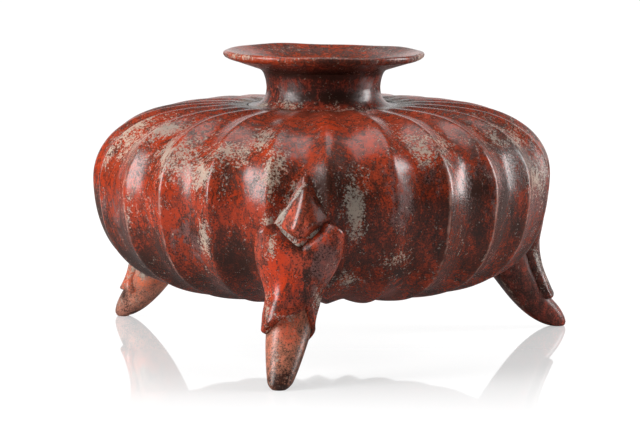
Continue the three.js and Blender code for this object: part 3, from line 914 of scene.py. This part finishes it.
# A wing's edges from the seam to its back: the lower one in shares of the rise from its tip to the fork,
# the upper one in heights
lower_edges = {
    "left": [(0, 1), (0.03, 0.93), (0.31, 0.70), (0.51, 0.58), (0.7, 0.36), (0.85, 0.14), (1, 0.02)],
    "right": [(0, 1), (0.12, 0.87), (0.35, 0.67), (0.64, 0.48), (0.8, 0.30), (0.9, 0.1), (1, 0.0)],
}
upper_edges = {
    "left": [(0, 0.0973), (0.3, 0.1046), (0.6, 0.1112), (0.8, 0.1098), (1, 0.1070)],
    "right": [(0, 0.0975), (0.3, 0.1050), (0.58, 0.1120), (0.8, 0.1105), (1, 0.1075)],
}
wing_tones = {
    "front": ((0.34, 0.046, 0.020), (0.46, 0.036, 0.007), (0.110, 0.024, 0.014)),
    "right": ((0.20, 0.038, 0.024), (0.27, 0.044, 0.024), (0.075, 0.021, 0.014)),
    "left": ((0.50, 0.16, 0.095), (0.52, 0.10, 0.045), (0.27, 0.11, 0.075)),
}
wing_marks = {
    "smoke_and_shade": [(12, 84, 7, 14, 0.5), (5, 62, 4, 8, 1.1), (-2, 96, 6, 4, 0.6), (6, 76, 5, 9, 1.4)],
    "crust": [(12, 60, 4, 14, 0.5), (-22, 52, 3, 20, 0.5), (-8, 48, 12, 2.5, 0.6), (-19, 94, 5, 10, 0.8)],
    "blush": [(-14, 78, 12, 26, 0.9), (14, 104, 8, 6, 0.6), (-1, 68, 6, 12, 1.0)],
    # The bloom patches right of the middle are partly a painted sheen, the mauve reflection of the right
    # lamp.
    "bloom_and_sheen": [(17, 86, 10, 20, 1.5), (10, 66, 5, 16, 0.9), (-8, 90, 5, 8, 0.6)],
}


def along_line(low, high, height):
    """Sideways place, at a height, of a line between two points."""
    share = np.clip((height - low[1]) / (high[1] - low[1]), 0, 1)
    return low[0] + (high[0] - low[0]) * share


def quarter_round(distance):
    """The share of its thickness that a wing has at a distance from its edge."""
    share = np.clip(distance / wing_edge_round, 0, 1)
    return np.sqrt(1 - (1 - share) ** 2)


def crowded_ends(share, amount):
    """Draws even steps together towards both ends."""
    return share - amount / (2 * math.pi) * np.sin(2 * math.pi * share)


def smooth_profile(points, share):
    """A line through points with its corners rounded, read at shares of its length."""
    places, values = np.array(points).T
    fine = np.linspace(0, 1, curve_steps)
    rough = np.interp(fine, places, values)
    before = 2 * rough[0] - rough[curve_softening:0:-1]
    after = 2 * rough[-1] - rough[-2:-curve_softening - 2:-1]
    return np.interp(share, fine, averaged(np.concatenate((before, rough, after)), curve_softening))


def wing_surface(side, support, across, upward):
    """Places on a wing's outside, thinning to nothing at its edges."""
    tip = support[f"{side}_tip"]
    low = tip + (support["fork"] - tip) * smooth_profile(lower_edges[side], across)
    high = smooth_profile(upper_edges[side], across)
    height = low + (high - low) * upward
    seam = along_line(seam_low, seam_high, height)
    beside = np.clip((seam - lean_at(height)) / breast_half_width(height), -0.99, 0.99)
    seam_turn = np.arccos(np.sign(beside) * np.abs(beside) ** (section_power / 2))
    rise = smooth_step(height, breast_waist, breast_shoulders)
    wrap = wing_wrap_low + (wing_wrap_high - wing_wrap_low) * rise
    wrap -= wing_knob_wrap[side] * bell(height - tip, wing_knob_height, wing_knob_half_height)
    back = math.pi - wrap if side == "left" else wrap
    turn = seam_turn + (back - seam_turn) * across
    span = np.abs(seam_turn - back) * breast_half_width(height)
    from_back = (1 - across) * span
    slope = np.gradient(low, axis=1) / (np.gradient(across, axis=1) * span)
    from_low = low_edge_tightness * (height - low) / np.sqrt(1 + slope ** 2)
    slope = np.gradient(high, axis=1) / (np.gradient(across, axis=1) * span)
    from_high = (high - height) / np.sqrt(1 + slope ** 2)
    above_tip = np.clip((height - tip - soft_back_start) / soft_back_run, 0, 1)
    merging = 1 + back_edge_softness * (1 - support["relief"]) * above_tip
    cover = quarter_round(from_low) * quarter_round(from_high / high_edge_softness)
    cover = cover * quarter_round(from_back / merging)
    ridge = along_line(ridge_low, ridge_high, height)
    aside, _ = breast_place(support, turn, height)
    tent = np.clip(1 - np.abs(aside - ridge) / ridge_half_width, 0, 1)
    tent = tent * np.clip((height - ridge_start) / ridge_run, 0, 1)
    fold = along_line(fold_low, fold_high, height)
    roll = bell(aside, fold, roll_half_width) * np.clip((roll_top - height) / roll_run, 0, 1)
    lip = bell(from_low, lip_inset, lip_half_width) * np.clip(lip_fade - across, 0, 1)
    raised = wing_thickness + wing_shoulder_rise * rise + wing_ridge * tent
    raised += support["relief"] * (wing_roll * roll + wing_lip * lip)
    plate = cover * raised + wing_sink * (cover - 1)
    aside, reach = breast_place(support, turn, height, plate)
    return aside, reach, height


def wing_form(side, support):
    """A grid laid over a wing's outside, extruded in towards the middle of the leg."""
    form = bmesh.new()
    bmesh.ops.create_grid(form, x_segments=wing_columns, y_segments=wing_rows, size=1)
    grid = sorted(form.verts, key=lambda vert: (round(vert.co.y, 6), round(vert.co.x, 6)))
    across, upward = np.meshgrid(np.linspace(0, 1, wing_columns + 1), np.linspace(0, 1, wing_rows + 1))
    aside, reach, height = wing_surface(side, support, across, crowded_ends(upward, wing_row_crowding))
    places = np.stack((aside, reach, height), axis=2).reshape(-1, 3)
    for vert, place in zip(grid, places):
        vert.co = place
    for vert in bmesh.ops.extrude_face_region(form, geom=form.faces[:])["geom"]:
        if isinstance(vert, bmesh.types.BMVert):
            inward = Vector((lean_at(vert.co.z) - vert.co.x, leg_middle_reach - vert.co.y, 0)).normalized()
            vert.co += inward * wing_root_depth
    return form


for name, support in supports.items():
    wing_slip = slip_material(f"{name} wing slip", *wing_tones[name], bird_polish)
    for side in ("left", "right"):
        wing = wing_form(side, support)
        paint_support(wing, wing_marks, own_marks[name])
        stand_round(wing, support["bearing"])
        piece_name = f"{name}_{side}_folded_wing"
        finished_piece(wing, piece_name, wing_slip, f"{name}_{side}_wing")


# Supports: heads
# Each bird lays its head back against the wall, cut in flat facets to a point. A collar of clay holds it
# there, and old lime and soil still cling to the collar.
head_tones = {
    "front": ((0.22, 0.034, 0.015), (0.46, 0.075, 0.040), (0.085, 0.022, 0.013)),
    "right": ((0.16, 0.04, 0.03), (0.3, 0.07, 0.04), (0.05, 0.02, 0.018)),
    "left": ((0.36, 0.09, 0.06), (0.5, 0.11, 0.06), (0.12, 0.04, 0.03)),
}
head_tip = Vector((0.0032, 0.1682, 0.1372))
head_brow = {"left": Vector((-0.0036, 0.1815, 0.1080)), "right": Vector((0.0096, 0.1812, 0.1118))}
head_cheek = {"left": Vector((-0.0125, 0.1722, 0.1088)), "right": Vector((0.0180, 0.1715, 0.1142))}
head_chin = Vector((0.0008, 0.1760, 0.0980))
head_middle = Vector((0.0020, 0.1690, 0.1130))
collar_tip = Vector((0.0035, 0.1670, 0.1415))
collar_side = {"left": Vector((-0.0210, 0.1690, 0.1085)), "right": Vector((0.0205, 0.1695, 0.1110))}
collar_throat = Vector((0.0010, 0.1772, 0.1055))
collar_chin = Vector((-0.0012, 0.1795, 0.0945))
collar_root_high = Vector((0.0030, 0.1500, 0.1380))
collar_root_low = Vector((0.0010, 0.1620, 0.0900))
collar_middle = Vector((0.0020, 0.1640, 0.1120))
head_back = 0.0090  # from the middle of a head in to its hidden back
stone_fineness = 6
head_sharpness = 11
collar_sharpness = 14


def facet(middle, *corners):
    """A flat facet's direction and its distance from the middle of a form."""
    first, second, third = corners
    across = (second - first).cross(third - first).normalized()
    if across.dot(first - middle) < 0:
        across = -across
    return across, across.dot(first - middle)


def cut_stone(middle, facets, sharpness):
    """A ball pressed against flat facets, with soft edges where they meet."""
    stone = bmesh.new()
    bmesh.ops.create_icosphere(stone, subdivisions=stone_fineness, radius=1)
    for vert in stone.verts:
        outward = vert.co.normalized()
        pressed = 0
        for across, distance in facets:
            pressed += (max(outward.dot(across), 0) / distance) ** sharpness
        vert.co = middle + outward * pressed ** (-1 / sharpness)
    return stone


hidden_back = (Vector((0, -1, 0)), head_back)
head_facets = [hidden_back]
collar_facets = [hidden_back]
for end in (head_tip, head_chin):
    head_facets.append(facet(head_middle, end, head_brow["left"], head_brow["right"]))
    for side in ("left", "right"):
        head_facets.append(facet(head_middle, end, head_brow[side], head_cheek[side]))
for end, root in ((collar_tip, collar_root_high), (collar_chin, collar_root_low)):
    for side in ("left", "right"):
        collar_facets.append(facet(collar_middle, end, collar_side[side], collar_throat))
        collar_facets.append(facet(collar_middle, end, collar_side[side], root))
head_marks = {
    # The faint smoke patch on the front facet is painted shade.
    "smoke_and_shade": [(4, 120, 3, 9, 0.3)],
    "crust": [(-2, 136, 3, 4, 0.7)],
    "blush": [(-8, 116, 6, 16, 1.0), (3, 108, 6, 8, 0.9)],
    # The bloom patch on the right facet is a painted sheen, the mauve reflection of the right lamp.
    "bloom_and_sheen": [(14, 116, 4, 10, 1.0)],
}
collar_marks = {
    # The smoke patch right of the head is a painted shadow cast by the head.
    "smoke_and_shade": [(14, 122, 6, 14, 1.0)],
    "crust": [
        (-14, 118, 6, 18, 0.95), (-2, 138, 6, 10, 0.95), (-8, 103, 4, 4, 1.0), (11, 103, 6, 5, 1.0),
        (0, 97, 8, 4, 1.0),
    ],
    "blush": [(2, 102, 5, 5, 1.0)],
    "bloom_and_sheen": [(13, 105, 6, 6, 1.0)],
}
for name, support in supports.items():
    head = cut_stone(head_middle, head_facets, head_sharpness)
    collar = cut_stone(collar_middle, collar_facets, collar_sharpness)
    paint_support(head, head_marks)
    paint_support(collar, collar_marks)
    loose = bpy.data.meshes.new("collar")
    collar.to_mesh(loose)
    collar.free()
    head.from_mesh(loose)
    bpy.data.meshes.remove(loose)
    stand_round(head, support["bearing"])
    head_slip = slip_material(f"{name} head slip", *head_tones[name], bird_polish)
    finished_piece(head, f"{name}_pointed_head", head_slip, f"{name}_head")


# Floor
# A sheet of white gloss plastic under and behind the vessel. It shows a faint, fading reflection of the
# feet, and no horizon.
floor_size = 14
sheet_grey = (0.25, 0.25, 0.25, 1)
sheet_white = (0.75, 0.75, 0.75, 1)
sheet_glow = 0.77
added_glow = 0.26  # behind the vessel, a painted light that thins its shadow there, and far off, so that no horizon shows
painted_light_share = 0.6
behind_start = -0.16
behind_full = 0.08
far_start = 0.32
far_full = 0.80
sheet_roughness = 0.03
least_shine = 0.02
most_shine = 0.49  # at a flat angle
flat_angle_start = 0.795
flat_angle_full = 0.836
floor_form = bmesh.new()
bmesh.ops.create_grid(floor_form, x_segments=1, y_segments=1, size=floor_size / 2)
floor_mesh = bpy.data.meshes.new("floor")
floor_form.to_mesh(floor_mesh)
floor_form.free()
floor = bpy.data.objects.new("floor", floor_mesh)
bpy.context.scene.collection.objects.link(floor)
floor_gloss = bpy.data.materials.new("white gloss sheet")
floor_gloss.use_nodes = True
floor_tree = floor_gloss.node_tree
floor_tree.nodes.remove(floor_tree.nodes["Principled BSDF"])
path_kind = add_node(floor_tree, "ShaderNodeLightPath").outputs
floor_place = add_node(floor_tree, "ShaderNodeTexCoord").outputs["Object"]
floor_depth = add_node(floor_tree, "ShaderNodeSeparateXYZ", Vector=floor_place).outputs["Y"]
floor_distance = add_node(floor_tree, "ShaderNodeVectorMath", {"operation": "LENGTH"}, i0=floor_place)
sheet = add_node(floor_tree, "ShaderNodeBsdfDiffuse", Color=sheet_grey).outputs[0]
sheet_tone = blend_colours(floor_tree, path_kind["Is Glossy Ray"], sheet_white, sheet_grey)
dim_sheet = add_node(floor_tree, "ShaderNodeBsdfDiffuse", Color=sheet_tone).outputs[0]
# Glow added over the floor behind the vessel's middle is painted light that washes out the vessel's shadow
# there.
painted_light_behind_vessel = soft_mask(floor_tree, floor_depth, behind_start, behind_full, painted_light_share)
far_off = soft_mask(floor_tree, floor_distance.outputs["Value"], far_start, far_full)
glow_share = arithmetic(floor_tree, "MAXIMUM", painted_light_behind_vessel, far_off)
glow_strength = weighed_sum(floor_tree, (glow_share, added_glow), (1.0, sheet_glow))
glow = add_node(floor_tree, "ShaderNodeEmission", Color=(1, 1, 1, 1), Strength=glow_strength).outputs[0]
lit = add_node(floor_tree, "ShaderNodeAddShader", i0=sheet, i1=glow).outputs[0]
shine = add_node(
    floor_tree, "ShaderNodeBsdfGlossy", Color=(1, 1, 1, 1), Roughness=sheet_roughness,
).outputs[0]
grazing = add_node(floor_tree, "ShaderNodeLayerWeight", Blend=0.5).outputs["Facing"]
shine_share = soft_mask(
    floor_tree, grazing, flat_angle_start, flat_angle_full, most_shine, least_shine,
)
polished = add_node(floor_tree, "ShaderNodeMixShader", i0=shine_share, i1=lit, i2=shine).outputs[0]
seen = add_node(
    floor_tree, "ShaderNodeMixShader", i0=path_kind["Is Camera Ray"], i1=dim_sheet, i2=polished,
).outputs[0]
floor_tree.links.new(seen, floor_tree.nodes["Material Output"].inputs["Surface"])
floor_mesh.materials.append(floor_gloss)


# Room and lamps
# A white backdrop all round the back of the vessel, a dim room in front, a large soft lamp on the left
# and a smaller one on the right, a little behind.
backdrop_side = (0.55, 0.85)  # how far round to the back the white begins and is full
backdrop_top = (0.25, 0.55)
room_glow = 0.03
ambient = 0.16
world = bpy.data.worlds.new("studio")
world.use_nodes = True
bpy.context.scene.world = world
sky = world.node_tree
ray_kind = add_node(sky, "ShaderNodeLightPath").outputs
look = add_node(sky, "ShaderNodeTexCoord").outputs["Generated"]
direction = add_node(sky, "ShaderNodeSeparateXYZ", Vector=look).outputs
behind = soft_mask(sky, direction["Y"], *backdrop_side)
low_down = arithmetic(sky, "SUBTRACT", 1.0, soft_mask(sky, direction["Z"], *backdrop_top))
backdrop = arithmetic(sky, "MULTIPLY", behind, low_down)
mirrored = weighed_sum(sky, (backdrop, 1 - room_glow), (1.0, room_glow))
plain = add_node(sky, "ShaderNodeMix", i0=ray_kind["Is Glossy Ray"], i2=ambient, i3=mirrored)
shown = add_node(sky, "ShaderNodeMix", i0=ray_kind["Is Camera Ray"], i2=plain.outputs[0], i3=1.0)
sky.links.new(shown.outputs[0], sky.nodes["Background"].inputs["Strength"])
sky.nodes["Background"].inputs["Color"].default_value = (1, 1, 1, 1)


def soft_lamp(name, place, target, width, height, power):
    lamp_data = bpy.data.lights.new(name, "AREA")
    lamp_data.shape = "RECTANGLE"
    lamp_data.size = width
    lamp_data.size_y = height
    lamp_data.energy = power
    lamp = bpy.data.objects.new(name, lamp_data)
    lamp.location = place
    lamp.rotation_euler = (Vector(target) - Vector(place)).to_track_quat("-Z", "Y").to_euler()
    bpy.context.scene.collection.objects.link(lamp)


soft_lamp("left softbox", (-1.25, -0.62, 0.72), (0, 0, 0.12), 0.55, 1.30, 34)
soft_lamp("right softbox", (1.3, 0.30, 0.60), (0, 0, 0.12), 0.40, 1.15, 21)
soft_lamp("overhead softbox", (0, 0.3, 1.7), (0, 0, 0.1), 1.2, 1.2, 12)
